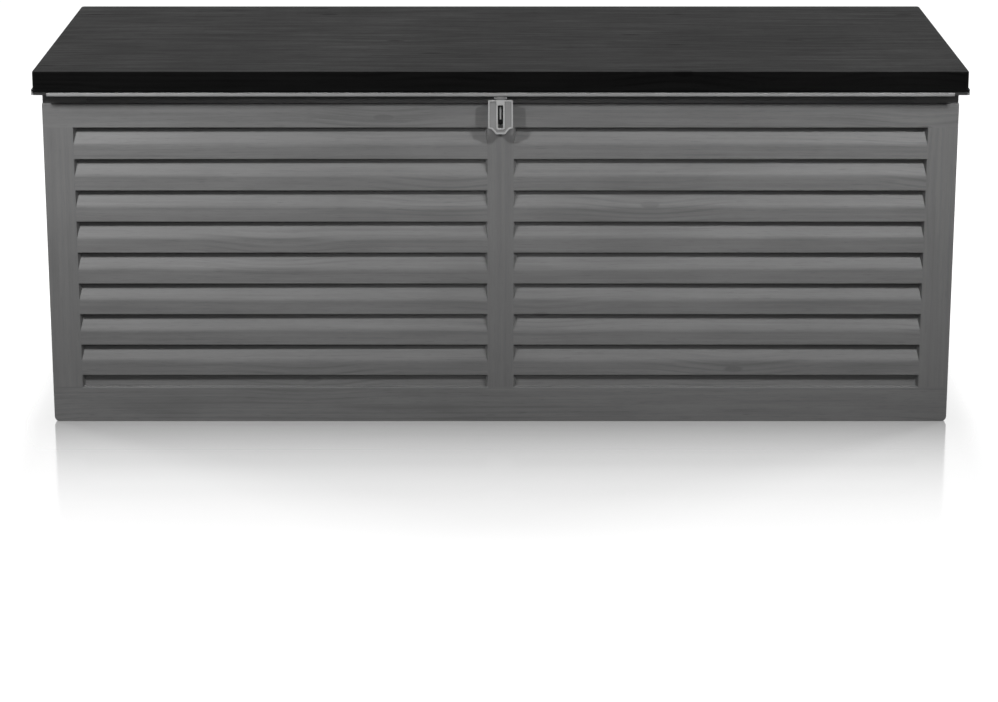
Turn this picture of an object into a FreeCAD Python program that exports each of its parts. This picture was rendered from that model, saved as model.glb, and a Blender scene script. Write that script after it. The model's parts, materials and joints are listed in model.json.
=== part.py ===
import FreeCAD, Part
import math
import os

from FreeCAD import Vector

# Garden storage box: louvred wall panels screwed together at the corners, a ribbed floor, a two-skin lid
# on three hinges, a hanging hasp over a padlock lug, and two slotted lid stays. Sizes are millimetres.
# X runs along the box, -Y is its front and +Z is up. The origin is on the ground under the middle of the
# overall footprint.

# Body
body_width = 1420.0
body_depth = 566.0
wall = 3.0
face_height = 513.5          # ground to the ledge at the top of the outer faces
ledge_depth = 10.0           # the step inwards on top of the long faces
end_ledge = 0.5              # the same step on the short faces, almost flush
tongue_rise = 27.2           # the upright lip above the ledge that the lid closes over
corner_radius = 3.0
foot_radius = 9.0
foot_flange = 15.0           # the turned-in flange that stands on the ground
return_depth = 15.0          # how far the long panels wrap round the corners
seam = 0.4
bead_radius = 1.2
bead_height = 4.2            # above the ledge
corner_block = 68.0
corner_block_step = 1.6

# Louvres
louvre_pitch = 50.0
louvre_depth = 12.0
top_rail = 37.5              # ledge to the highest undercut
bottom_rail = 52.0
slope_height = 26.0
slope_blend = 15.0
last_height = 19.0           # the lowest recess is short, with an almost upright back over a ledge
last_depth = 9.0
last_lean = 2.0              # how much shallower the back is at the ledge
last_round = 1.8
lip_radius = 1.2
end_slant = 0.5              # sideways run of a recess end for each mm of depth
side_stile = 47.0
centre_stile = 41.0

# Panel joints and stiffening
joint_screw_inset = 19.0
joint_screw_heights = (40.0, 280.0, 470.0)
boss_radius = 5.0
boss_gap = 0.3
hook_margin = 2.5            # side panel's flange past the screw heads
hook_rise = 9.0              # ground to the foot of that flange
rib_thickness = 2.5
stile_rib_depth = 12.0

# Floor
floor_height = 20.0
floor_gap = 1.0
floor_clearance = 3.0
floor_skirt_inset = 8.0
floor_ribs_along = 5
floor_ribs_across = 11

# Lid
cover_overhang_side = 11.2
cover_overhang_front = 16.0
cover_height = 31.7
cover_wall = 3.0
cover_corner = 6.0
cover_edge = 1.5
cover_foot_chamfer = 0.8
cover_foot_step = 2.5        # the cover's ends step out at their foot
cover_foot_height = 3.0
cover_ribs = 9
cover_rib_gap = 0.5
rim_overhang_side = 15.0
rim_overhang_rear = 18.0
rim_front_setback = 8.0      # the rim stands behind the cover's front beside the finger lip
rim_height = 6.5
rim_edge = 3.5
rim_corner = 5.0
lip_overhang = 20.0
lip_end_gap = 11.0           # from the body's side to the end of the finger lip
lip_round = 1.5
lip_gap = 1.2                # under the cover's foot, so that a shadow line parts them
liner_wall = 3.0
riser_gap = 4.0
lid_rest_gap = 0.3
lid_lift = 15.5              # ledge to the underside of the rim
pan_depth = 8.0
pans_along = 7
pans_across = 2
pan_margin = 34.0
pan_gap = 26.0
pan_corner = 12.0

# Lid hinges
hinge_end_inset = 229.5      # end of the body to the middle of the outer hinges
hinge_offset = 9.0           # axis behind the rear face
hinge_drop = 10.0            # axis below the underside of the rim
knuckle_radius = 6.5
knuckle_gap = 0.5
lid_knuckle_length = 24.0
body_knuckle_length = 16.0
leaf_thickness = 3.0
leaf_corner = 4.0
body_leaf_height = 36.0
body_leaf_screw_rise = 9.0
body_leaf_screw_inset = 9.0
knuckle_web = 22.0
lid_leaf_width = 84.0
lid_leaf_screw_inset = 8.0
leaf_clearance = 0.3
hinge_pin_radius = 2.5
hinge_pin_head = 1.5
hinge_pin_lip = 1.2
lid_open_angle = 95.0

# Screws
screw_radius = 2.0
screw_head_radius = 3.8
screw_head_height = 2.0
screw_head_chamfer = 0.9
screw_clearance = 0.05
screw_bite = 7.5
pin_clearance = 0.05

# Hasp and padlock lug
hasp_width = 38.2
hasp_height = 53.5
hasp_plate = 2.2
hasp_relief = 1.4
hasp_border = 2.2
hasp_balance = 0.33          # the plate stands this far forward, so that the hasp hangs plumb
hasp_axis_reach = 16.8       # in front of the front face
hasp_axis_drop = 3.0         # below the underside of the rim
hasp_knuckle_radius = 2.6
hasp_knuckle_width = 13.0
hasp_shoulder_drop = 2.7
hasp_tab_width = 12.5
hasp_tab_drop = 9.0
hasp_pin_radius = 1.3
hasp_pin_head = 0.8
hasp_ear = 1.8
hasp_ear_gap = 0.3
hasp_ear_radius = 2.3
hasp_screw_spread = 14.5
hasp_screw_reach = 5.0
slot_width = 8.0
slot_height = 36.0
slot_drop = 8.0              # hasp shoulder to the top of the slot
slot_corner = 1.0
slot_frame = 2.6
lug_thickness = 2.4
lug_clearance = 0.8          # the lug's nose to the back of the hanging hasp
lug_head_room = 2.8          # under the top of the slot
lug_sweep_room = 4.6         # over the bottom of the slot, which lifts as the hasp is pressed in
lug_nose = 6.0
lug_plate = 2.0
lug_plate_width = 26.0
lug_plate_height = 30.0
lug_ledge_gap = 1.0
lug_eye_radius = 2.0
lug_eye_wall = 1.6
lug_screw_spread = 9.0
lug_screw_inset = 5.5
lug_screw_head = 3.2

# Lid stays
stay_radius = 208.0          # hinge axis to the peg, and hinge axis to the arm's pivot
stay_thickness = 4.0
stay_half_width = 11.0
stay_head_room = 2.0         # arm to the liner above it
stay_wall_room = 6.5         # arm to the louvres beside it
stay_peg_slat = 2            # the peg's slat, counted down from the highest full one
stay_peg_radius = 3.0
stay_peg_head = 2.5
stay_slot_clearance = 0.4
stay_tail = 12.0
stay_side_gap = 0.5
stay_plate = 3.0
stay_plate_width = 22.0
stay_screw_spread = 14.0
stay_screw_head = 3.4

# Places worked out from the sizes
front_reach = max(lip_overhang, hasp_axis_reach + hasp_knuckle_radius)
body_mid_y = (front_reach - rim_overhang_rear) / 2
front_face = body_mid_y - body_depth / 2
rear_face = body_mid_y + body_depth / 2
half_width = body_width / 2
half_depth = body_depth / 2
ledge_bottom = face_height - wall
tongue_top = face_height + tongue_rise
tongue_inset = ledge_depth + wall
end_tongue_inset = end_ledge + wall
highest_line = face_height - top_rail
louvre_lines = 1 + int((highest_line - bottom_rail - last_height) // louvre_pitch)
lowest_line = highest_line - (louvre_lines - 1) * louvre_pitch
hook_end = joint_screw_inset + screw_head_radius + hook_margin
floor_top = floor_height + wall
rim_bottom = face_height + lid_lift
rim_top = rim_bottom + rim_height
lip_top = rim_top - lip_gap
flange_under = rim_top - liner_wall
riser_inside = ledge_depth - riser_gap
riser_outside = riser_inside - liner_wall
end_riser_inside = end_ledge - riser_gap
end_riser_outside = end_riser_inside - liner_wall
liner_under = tongue_top + lid_rest_gap
liner_top = liner_under + liner_wall
pan_top = liner_top + pan_depth
lid_top = rim_top + cover_height
leaf_under = flange_under - leaf_thickness
hinge_y = rear_face + hinge_offset
hinge_z = rim_bottom - hinge_drop
hinge_half = lid_knuckle_length / 2 + knuckle_gap + body_knuckle_length
hinge_spread = half_width - hinge_end_inset
hinge_centres = {"left": -hinge_spread, "centre": 0.0, "right": hinge_spread}
lid_leaf_y = (rear_face - riser_outside + 0.5, rear_face + rim_overhang_rear - rim_edge - leaf_clearance)
hinge_screw_y = (rear_face + lid_leaf_y[1] - lid_leaf_screw_inset) / 2 + 1.7
hasp_y = front_face - hasp_axis_reach
hasp_z = rim_bottom - hasp_axis_drop
hasp_back = hasp_y + (hasp_plate + hasp_relief) / 2 - hasp_balance
hasp_front = hasp_back - hasp_plate - hasp_relief
hasp_shoulder = hasp_z - hasp_shoulder_drop
hasp_ear_inside = hasp_knuckle_width / 2 + hasp_ear_gap
hasp_pin_half = hasp_ear_inside + hasp_ear
slot_top = hasp_shoulder - slot_drop
slot_bottom = slot_top - slot_height
lug_tip = hasp_back + lug_clearance
lug_top = min(slot_top - lug_head_room, face_height - lug_ledge_gap)
lug_eye_y = lug_tip + lug_eye_wall + lug_eye_radius
lug_eye_z = slot_bottom + lug_sweep_room + lug_eye_wall + lug_eye_radius
lug_plate_top = face_height - lug_ledge_gap
stay_inset = louvre_depth + wall + stay_wall_room
stay_outer_x = half_width - stay_inset
stay_inner_x = stay_outer_x - stay_thickness
stay_pivot_z = liner_under - stay_half_width - stay_head_room
stay_pivot_y = hinge_y - math.sqrt(stay_radius ** 2 - (stay_pivot_z - hinge_z) ** 2)
stay_peg_z = highest_line - stay_peg_slat * louvre_pitch + (louvre_pitch - slope_height) / 2
stay_peg_y = hinge_y - math.sqrt(stay_radius ** 2 - (hinge_z - stay_peg_z) ** 2)
arc_mid = 1 - math.sqrt(0.5)         # how far the middle of a quarter round lies from its tangents


def span(a, b):
    return (min(a, b), max(a, b))


def block(x, y, z):
    """A box between the low and high values of each pair."""
    return Part.makeBox(x[1] - x[0], y[1] - y[0], z[1] - z[0], Vector(x[0], y[0], z[0]))


def rod(start, direction, radius, length):
    return Part.makeCylinder(radius, length, Vector(*start), Vector(*direction))


def in_yz(a, b):
    return Vector(0, a, b)


def in_xz(a, b):
    return Vector(a, 0, b)


def in_xy(a, b):
    return Vector(a, b, 0)


def outline(plane, start, steps):
    """A closed face. A step is a point, or an arc given as its middle and end points."""
    edges = []
    here = plane(*start)
    for step in steps:
        if isinstance(step[0], tuple):
            end = plane(*step[1])
            edges.append(Part.Arc(here, plane(*step[0]), end).toShape())
        else:
            end = plane(*step)
            edges.append(Part.makeLine(here, end))
        here = end
    if here.distanceToPoint(plane(*start)) > 1e-6:
        edges.append(Part.makeLine(here, plane(*start)))
    return Part.Face(Part.Wire(edges))


def swept(face, direction, low, high):
    """The face moved to low and extruded to high along a unit direction."""
    direction = Vector(*direction)
    return face.translated(direction * low).extrude(direction * (high - low))


def rounded(plane, x, y, radii):
    """A rectangle whose corner radii run from the low-low corner round to the low-high one."""
    low_low, high_low, high_high, low_high = radii
    steps = []

    def corner(cx, cy, r, sx, sy, along_x):
        beside_x, beside_y = (cx - sx * r, cy), (cx, cy - sy * r)
        enter, leave = (beside_x, beside_y) if along_x else (beside_y, beside_x)
        steps.append(enter)
        if r > 0:
            steps.append(((cx - sx * r * arc_mid, cy - sy * r * arc_mid), leave))

    corner(x[1], y[0], high_low, 1, -1, True)
    corner(x[1], y[1], high_high, 1, 1, False)
    corner(x[0], y[1], low_high, -1, 1, True)
    corner(x[0], y[0], low_low, -1, -1, False)
    if low_low <= 0:
        steps.pop()
    return outline(plane, (x[0] + low_low, y[0]), steps)


def across_middle(shape):
    """The mirror image on the other side of the YZ plane."""
    return shape.mirror(Vector(0, 0, 0), Vector(1, 0, 0))


def tidy(shape):
    """One solid with its split faces joined again."""
    clean = shape.removeSplitter()
    whole = clean if clean.isValid() else shape
    return whole.Solids[0] if len(whole.Solids) == 1 else whole


# Screws


def screw(seat, direction, length, head_radius=screw_head_radius):
    """A pan-head screw whose head sits on seat and whose shank runs along direction."""
    head = Part.makeCylinder(head_radius, screw_head_height, Vector(0, 0, -screw_head_height))
    outer = [e for e in head.Edges if abs(e.BoundBox.ZMax + screw_head_height) < 1e-6]
    head = head.makeChamfer(screw_head_chamfer, outer)
    shape = head.fuse(Part.makeCylinder(screw_radius, length))
    turn = FreeCAD.Rotation(Vector(0, 0, 1), Vector(*direction))
    shape.Placement = FreeCAD.Placement(Vector(*seat), turn)
    return shape


def screw_hole(seat, direction, length):
    return rod(seat, direction, screw_radius + screw_clearance, length)


# Louvred walls. A wall is drawn with its outer face on y = 0, looking along +y into the box.


def louvre_ends(x0, x1, offset, z0, z1):
    """Keeps a recess between its slanted ends; offset widens it all round."""
    grow = offset * math.hypot(1, end_slant)
    out, deep = -1.0, louvre_depth + offset + 1
    face = outline(in_xy, (x0 - grow + end_slant * out, out), [
        (x1 + grow - end_slant * out, out),
        (x1 + grow - end_slant * deep, deep),
        (x0 - grow + end_slant * deep, deep),
    ])
    return swept(face, (0, 0, 1), z0, z1)


def louvre_recess(x0, x1, top):
    """The space cut out under a slat: undercut lip, deep corner, slope and blend into the flat."""
    height = slope_height
    length = math.hypot(louvre_depth, height)
    turn = math.atan2(louvre_depth, height)
    tangent = slope_blend * math.tan(turn / 2)
    on_slope = (tangent * louvre_depth / length, top - height + tangent * height / length)
    on_face = (0.0, top - height - tangent)
    middle = (slope_blend * (1 - math.cos(turn / 2)), on_face[1] + slope_blend * math.sin(turn / 2))
    face = outline(in_yz, (-1.0, top + lip_radius), [
        (0.0, top + lip_radius),
        ((lip_radius * arc_mid, top + lip_radius * arc_mid), (lip_radius, top)),
        (louvre_depth, top),
        on_slope,
        (middle, on_face),
        (-1.0, on_face[1]),
    ])
    ends = louvre_ends(x0, x1, 0.0, on_face[1] - 1, top + lip_radius + 1)
    return swept(face, (1, 0, 0), x0 - 1, x1 + 1).common(ends)


def louvre_backing(x0, x1, top):
    """The wall's inner skin behind one recess, a wall's thickness further in."""
    height = slope_height
    length = math.hypot(louvre_depth, height)
    shift_y, shift_z = wall * height / length, -wall * louvre_depth / length
    deep = louvre_depth + wall
    at_deep = (shift_y - wall) / louvre_depth
    bottom = top + shift_z - height * (louvre_depth + shift_y) / louvre_depth
    face = outline(in_yz, (0.0, top + wall), [
        (deep, top + wall),
        (deep, top + shift_z - height * at_deep),
        (0.0, bottom),
    ])
    ends = louvre_ends(x0, x1, wall, bottom - 1, top + wall + 1)
    return swept(face, (1, 0, 0), x0 - 4 * wall, x1 + 4 * wall).common(ends)


def last_recess(x0, x1):
    """The lowest recess: undercut lip, a back that leans out a little, and a ledge with a rounded edge."""
    top, low, r = lowest_line, lowest_line - last_height, last_round
    face = outline(in_yz, (-1.0, top + lip_radius), [
        (0.0, top + lip_radius),
        ((lip_radius * arc_mid, top + lip_radius * arc_mid), (lip_radius, top)),
        (last_depth, top),
        (last_depth - last_lean, low),
        (r, low),
        ((r * arc_mid, low - r * arc_mid), (0.0, low - r)),
        (-1.0, low - r),
    ])
    ends = louvre_ends(x0, x1, 0.0, low - r - 1, top + lip_radius + 1)
    return swept(face, (1, 0, 0), x0 - 1, x1 + 1).common(ends)


def last_backing(x0, x1):
    top, low = lowest_line + wall, lowest_line - last_height - wall
    face = outline(in_yz, (0.0, top), [
        (last_depth + wall, top),
        (last_depth - last_lean + wall, low),
        (0.0, low),
    ])
    ends = louvre_ends(x0, x1, wall, low - 1, top + 1)
    return swept(face, (1, 0, 0), x0 - 4 * wall, x1 + 4 * wall).common(ends)


def with_louvres(shape, bays):
    backs, recesses = [], []
    for x0, x1 in bays:
        backs.append(last_backing(x0, x1))
        recesses.append(last_recess(x0, x1))
        for row in range(1, louvre_lines):
            top = lowest_line + row * louvre_pitch
            backs.append(louvre_backing(x0, x1, top))
            recesses.append(louvre_recess(x0, x1, top))
    return shape.fuse(backs).cut(recesses)


def wrapped_plate():
    """Plan of a long wall filled solid: its face and the rounded corners back to the ends of its returns."""
    w, r = half_width, corner_radius
    return outline(in_xy, (-w, return_depth), [
        (-w, r),
        ((-w + r * arc_mid, r * arc_mid), (-w + r, 0)),
        (w - r, 0),
        ((w - r * arc_mid, r * arc_mid), (w, r)),
        (w, return_depth),
    ])


def long_wall_skin():
    w, t = half_width, wall
    r = max(corner_radius - t, 0.5)
    inside = rounded(in_xy, (-w + t, w - t), (t, return_depth + r + 1), (r, r, 0, 0))
    skin = swept(wrapped_plate(), (0, 0, 1), 0, face_height)
    return skin.cut(swept(inside, (0, 0, 1), -1, face_height + 1))


def long_wall_top():
    """Ledge, tongue, bead and the thicker blocks at the tongue's ends."""
    n = half_width - end_ledge
    inner = (-half_width + end_tongue_inset, half_width - end_tongue_inset)
    opening = block(inner, (tongue_inset, return_depth + 1), (ledge_bottom - 1, tongue_top + 1))
    ledge = swept(wrapped_plate(), (0, 0, 1), ledge_bottom, face_height)
    tongue = block((-n, n), (ledge_depth, return_depth), (ledge_bottom, tongue_top))
    bead = rod((-n, ledge_depth, face_height + bead_height), (1, 0, 0), bead_radius, 2 * n)
    blocks = [
        block(span(s * n, s * (n - corner_block)), (ledge_depth - corner_block_step, ledge_depth + 1),
              (ledge_bottom, tongue_top))
        for s in (-1, 1)
    ]
    return ledge.fuse([tongue, bead] + blocks).cut(opening)


def long_wall_inside():
    """Screw bosses at the corners and ribs down the centre stile."""
    parts = []
    depth = ledge_depth + seam - boss_gap
    for side in (-1, 1):
        for z in joint_screw_heights:
            x = side * (half_width - joint_screw_inset)
            parts.append(rod((x, wall - 1, z), (0, 1, 0), boss_radius, depth - wall + 1))
        x = span(side * centre_stile / 2, side * (centre_stile / 2 - rib_thickness))
        parts.append(block(x, (wall - 1, stile_rib_depth), (floor_top + floor_gap, ledge_bottom + 1)))
    return parts


def long_wall():
    w = half_width
    foot = swept(wrapped_plate(), (0, 0, 1), 0, wall)
    shape = long_wall_skin().fuse([long_wall_top(), foot] + long_wall_inside())
    frame = rounded(in_xz, (-w, w), (0, tongue_top), (foot_radius, foot_radius, 0, 0))
    shape = shape.common(swept(frame, (0, 1, 0), -1, return_depth + 1))
    bay = (centre_stile / 2, w - side_stile)
    shape = with_louvres(shape, [bay, (-bay[1], -bay[0])])
    holes = [
        screw_hole((s * (w - joint_screw_inset), wall / 2, z), (0, 1, 0), return_depth)
        for s in (-1, 1) for z in joint_screw_heights
    ]
    return shape.cut(holes)


def short_wall_section():
    t, r = wall, foot_radius
    inner = r - t
    return outline(in_yz, (0, r), [
        ((r * arc_mid, r * arc_mid), (r, 0)),
        (foot_flange, 0),
        (foot_flange, t),
        (r, t),
        ((t + inner * arc_mid, t + inner * arc_mid), (t, r)),
        (t, ledge_bottom),
        (end_tongue_inset, ledge_bottom),
        (end_tongue_inset, tongue_top),
        (end_ledge, tongue_top),
        (end_ledge, face_height),
        (0, face_height),
    ])


def short_wall():
    """A side panel: face between the long panels' returns, with hooks that reach behind their stiles."""
    t = wall
    edge = half_depth - return_depth - seam
    top = ledge_bottom - boss_gap
    joggle = t + seam
    hook = half_depth - ledge_depth - seam
    parts = [rod((-edge, end_ledge, face_height + bead_height), (1, 0, 0), bead_radius, 2 * edge)]
    for s in (-1, 1):
        parts.append(block(span(s * (edge - t), s * edge), (t - 1, joggle + t), (hook_rise, top)))
        parts.append(block(span(s * (edge - t), s * hook), (joggle, joggle + t), (hook_rise, top)))
        parts.append(block(span(s * (hook - t), s * hook), (joggle, hook_end), (hook_rise, top)))
    shape = swept(short_wall_section(), (1, 0, 0), -edge, edge).fuse(parts)
    bay = half_depth - side_stile
    shape = with_louvres(shape, [(-bay, bay)])
    holes = [
        screw_hole((s * (hook - t - 1), joint_screw_inset, z), (s, 0, 0), t + 2)
        for s in (-1, 1) for z in joint_screw_heights
    ]
    return shape.cut(holes)


def place_front(shape):
    return shape.translated(Vector(0, front_face, 0))


def place_rear(shape):
    placed = place_front(shape)
    placed.rotate(Vector(0, body_mid_y, 0), Vector(0, 0, 1), 180)
    return placed


def place_right(shape):
    placed = shape.translated(Vector(0, -half_width, 0))
    placed.rotate(Vector(0, 0, 0), Vector(0, 0, 1), 90)
    return placed.translated(Vector(0, body_mid_y, 0))


def front_panel():
    pads, holes = [], []
    for x, z in lug_screw_places():
        pads.append(rod((x, front_face + wall - 1, z), (0, 1, 0), boss_radius, screw_bite))
        holes.append(screw_hole((x, front_face - 1, z), (0, 1, 0), wall + screw_bite + 1))
    return place_front(long_wall()).fuse(pads).cut(holes)


def rear_panel():
    pads, holes = [], []
    for x, z in body_leaf_screw_places():
        pads.append(rod((x, rear_face - wall + 1, z), (0, -1, 0), boss_radius, screw_bite))
        holes.append(screw_hole((x, rear_face + 1, z), (0, -1, 0), wall + screw_bite + 1))
    return place_rear(long_wall()).fuse(pads).cut(holes)


def right_side_panel():
    """The side wall with the boss that the stay's peg screws into."""
    reach = stay_inset - stay_side_gap
    peg = (stay_peg_y - body_mid_y, wall - 1, stay_peg_z)
    boss = rod(peg, (0, 1, 0), stay_peg_radius + wall, reach - wall + 1)
    bottom = (peg[0], louvre_depth - wall, stay_peg_z)
    hole = rod(bottom, (0, 1, 0), stay_peg_radius + screw_clearance, reach)
    return place_right(short_wall().fuse(boss).cut(hole))


def floor_panel():
    x, y = half_width - wall - floor_gap, half_depth - wall - floor_gap
    nx = half_width - hook_end - floor_clearance
    ny = half_depth - return_depth - seam - wall - floor_clearance
    plan = outline(in_xy, (-nx, -y), [
        (nx, -y), (nx, -ny), (x, -ny), (x, ny), (nx, ny), (nx, y),
        (-nx, y), (-nx, ny), (-x, ny), (-x, -ny), (-nx, -ny),
    ])
    plate = swept(plan, (0, 0, 1), floor_height, floor_top)
    hung = (wall, floor_height + 1)
    stood = (0, floor_height + 1)
    parts = []
    for s in (-1, 1):
        outer = y - floor_skirt_inset
        parts.append(block((-nx, nx), span(s * outer, s * (outer - rib_thickness)), hung))
        outer = x - floor_skirt_inset
        parts.append(block(span(s * outer, s * (outer - rib_thickness)), (-ny, ny), hung))
    rx = half_width - foot_flange - floor_clearance
    ry = half_depth - foot_flange - floor_clearance
    for i in range(floor_ribs_along):
        low = -ry + i * (2 * ry - rib_thickness) / (floor_ribs_along - 1)
        parts.append(block((-rx, rx), (low, low + rib_thickness), stood))
    for i in range(floor_ribs_across):
        low = -rx + i * (2 * rx - rib_thickness) / (floor_ribs_across - 1)
        parts.append(block((low, low + rib_thickness), (-ry, ry), stood))
    shape = plate.fuse(parts).common(swept(plan, (0, 0, 1), 0, floor_top))
    return shape.translated(Vector(0, body_mid_y, 0))


# Lid


def lid_cover():
    """The outer skin: a shallow tray upside down, ribbed inside, with bosses for the lid screws."""
    t, r = cover_wall, cover_corner
    w = half_width + cover_overhang_side
    y0, y1 = front_face - cover_overhang_front, rear_face + cover_overhang_front
    outer = swept(rounded(in_xy, (-w, w), (y0, y1), (r,) * 4), (0, 0, 1), rim_top, lid_top)
    top_edges = [e for e in outer.Edges if abs(e.BoundBox.ZMin - lid_top) < 1e-6]
    outer = outer.makeFillet(cover_edge, top_edges)
    foot_w = w + cover_foot_step
    foot = rounded(in_xy, (-foot_w, foot_w), (y0, y1), (r,) * 4)
    outer = outer.fuse(swept(foot, (0, 0, 1), rim_top, rim_top + cover_foot_height)).removeSplitter()
    foot_edges = [e for e in outer.Edges if abs(e.BoundBox.ZMax - rim_top) < 1e-6]
    outer = outer.makeChamfer(cover_foot_chamfer, foot_edges)
    hollow = rounded(in_xy, (-w + t, w - t), (y0 + t, y1 - t), (max(r - t, 1.0),) * 4)
    shape = outer.cut(swept(hollow, (0, 0, 1), rim_top - 1, lid_top - t))
    parts = []
    for i in range(cover_ribs):
        x = -w + (i + 1) * 2 * w / (cover_ribs + 1)
        parts.append(block((x - rib_thickness / 2, x + rib_thickness / 2), (y0 + t - 1, y1 - t + 1),
                           (pan_top + cover_rib_gap, lid_top - t + 1)))
    for x, y in lid_screw_places():
        parts.append(rod((x, y, rim_top), (0, 0, 1), boss_radius, cover_height - t + 1))
    holes = [screw_hole((x, y, rim_top - 1), (0, 0, 1), screw_bite + 2) for x, y in lid_screw_places()]
    return shape.fuse(parts).cut(holes)


def pan_places():
    x0, x1 = -half_width + tongue_inset + pan_margin, half_width - tongue_inset - pan_margin
    y0, y1 = front_face + tongue_inset + pan_margin, rear_face - tongue_inset - pan_margin
    wide = (x1 - x0 - pan_gap * (pans_along - 1)) / pans_along
    deep = (y1 - y0 - pan_gap * (pans_across - 1)) / pans_across
    for i in range(pans_along):
        for j in range(pans_across):
            x, y = x0 + i * (wide + pan_gap), y0 + j * (deep + pan_gap)
            yield x, x + wide, y, y + deep


def liner_rim():
    """The visible edge under the cover, with the finger lip along its front, hollow from below."""
    side = half_width + rim_overhang_side
    lip_x = half_width - lip_end_gap
    lip_front = front_face - lip_overhang
    y0 = front_face - cover_overhang_front + rim_front_setback
    y1 = rear_face + rim_overhang_rear
    e = rim_edge
    plan = rounded(in_xy, (-side, side), (y0, y1), (rim_corner,) * 4)
    rim = swept(plan, (0, 0, 1), rim_bottom, rim_top)
    section = rounded(in_yz, (lip_front, y0 + e), (rim_bottom, lip_top), (lip_round, 0, 0, lip_round))
    lip = swept(section, (1, 0, 0), -lip_x, lip_x)
    under = rounded(in_xy, (-side + e, side - e), (y0 + e, y1 - e), (rim_corner - e,) * 4)
    hollows = [
        swept(under, (0, 0, 1), rim_bottom - 1, flange_under),
        block((-lip_x + e, lip_x - e), (lip_front + e, y0 + e + 1), (rim_bottom - 1, flange_under)),
    ]
    return rim.fuse(lip).cut(hollows)


def lid_liner():
    """The inner skin: rim and lip, a riser over the tongue, and stiffening pans in the ceiling."""
    t = liner_wall

    def ring(inset, end_inset, radius):
        x = half_width - end_inset
        return rounded(in_xy, (-x, x), (front_face + inset, rear_face - inset), (radius,) * 4)

    riser = swept(ring(riser_outside, end_riser_outside, riser_gap), (0, 0, 1), flange_under, liner_top)
    inside = swept(ring(riser_inside, end_riser_inside, 1.0), (0, 0, 1), flange_under - 1, liner_under)
    shape = liner_rim().fuse(riser).cut(inside)
    bumps, hollows = [], []
    for x0, x1, y0, y1 in pan_places():
        r = pan_corner
        bump = rounded(in_xy, (x0 - t, x1 + t), (y0 - t, y1 + t), (r + t,) * 4)
        hollow = rounded(in_xy, (x0, x1), (y0, y1), (r,) * 4)
        bumps.append(swept(bump, (0, 0, 1), liner_top - 1, pan_top))
        hollows.append(swept(hollow, (0, 0, 1), liner_under - 1, pan_top - t))
    shape = shape.fuse(bumps).cut(hollows)
    holes = [screw_hole((x, y, rim_bottom), (0, 0, 1), rim_height + 1) for x, y in lid_screw_places()]
    holes += [screw_hole((x, y, liner_under - 1), (0, 0, 1), t + 2) for x, y in stay_screw_places()]
    return shape.cut(holes)


# Hinges


def body_leaf_screw_places():
    reach = hinge_half - body_leaf_screw_inset
    z = face_height - body_leaf_height + body_leaf_screw_rise
    return [(x + s * reach, z) for x in hinge_centres.values() for s in (-1, 1)]


def hinge_screw_places():
    reach = lid_leaf_width / 2 - lid_leaf_screw_inset
    return [(x + s * reach, hinge_screw_y) for x in hinge_centres.values() for s in (-1, 1)]


def hasp_screw_places():
    return [(s * hasp_screw_spread, front_face - hasp_screw_reach) for s in (-1, 1)]


def lid_screw_places():
    return hinge_screw_places() + hasp_screw_places()


def body_leaf(x):
    """A plate on the rear face with two knuckles and the webs that carry them."""
    y, t, r = rear_face, leaf_thickness, knuckle_radius
    sides, heights = (x - hinge_half, x + hinge_half), (face_height - body_leaf_height, face_height)
    plate = rounded(in_xz, sides, heights, (leaf_corner, leaf_corner, 0, 0))
    web = outline(in_yz, (y, face_height - knuckle_web), [
        (y + t, face_height - knuckle_web),
        (hinge_y + r * 0.8, hinge_z - r * 0.6),
        (hinge_y, hinge_z),
        (hinge_y - r, hinge_z),
        (y, face_height),
    ])
    parts = []
    for s in (-1, 1):
        inner = lid_knuckle_length / 2 + knuckle_gap
        ends = span(x + s * inner, x + s * hinge_half)
        parts.append(swept(web, (1, 0, 0), *ends))
        parts.append(rod((ends[0], hinge_y, hinge_z), (1, 0, 0), r, body_knuckle_length))
    shape = swept(plate, (0, 1, 0), y, y + t).fuse(parts)
    cuts = [rod((x - hinge_half - 1, hinge_y, hinge_z), (1, 0, 0), hinge_pin_radius, 2 * hinge_half + 2)]
    cuts += [screw_hole((px, y + t + 1, pz), (0, -1, 0), t + 2) for px, pz in body_leaf_screw_places()]
    return shape.cut(cuts)


def lid_leaf(x):
    """A plate under the lid's rear rim with one knuckle hanging from it."""
    w, half, r = lid_leaf_width / 2, lid_knuckle_length / 2, knuckle_radius
    plan = rounded(in_xy, (x - w, x + w), lid_leaf_y, (leaf_corner - 1,) * 4)
    plate = swept(plan, (0, 0, 1), leaf_under, flange_under)
    neck_y = (hinge_y - r, min(hinge_y + r, lid_leaf_y[1]))
    neck = block((x - half, x + half), neck_y, (hinge_z, leaf_under + 0.5))
    barrel = rod((x - half, hinge_y, hinge_z), (1, 0, 0), r, lid_knuckle_length)
    bore = hinge_pin_radius + pin_clearance
    cuts = [rod((x - half - 1, hinge_y, hinge_z), (1, 0, 0), bore, lid_knuckle_length + 2)]
    for px, py in hinge_screw_places():
        cuts.append(screw_hole((px, py, leaf_under - 1), (0, 0, 1), leaf_thickness + 2))
    return plate.fuse([neck, barrel]).cut(cuts)


def hinge_pin(x):
    shank = rod((x - hinge_half, hinge_y, hinge_z), (1, 0, 0), hinge_pin_radius, 2 * hinge_half)
    head = hinge_pin_radius + hinge_pin_lip
    heads = [rod((x + s * hinge_half, hinge_y, hinge_z), (s, 0, 0), head, hinge_pin_head) for s in (-1, 1)]
    return shank.fuse(heads)


# Hasp


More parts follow.
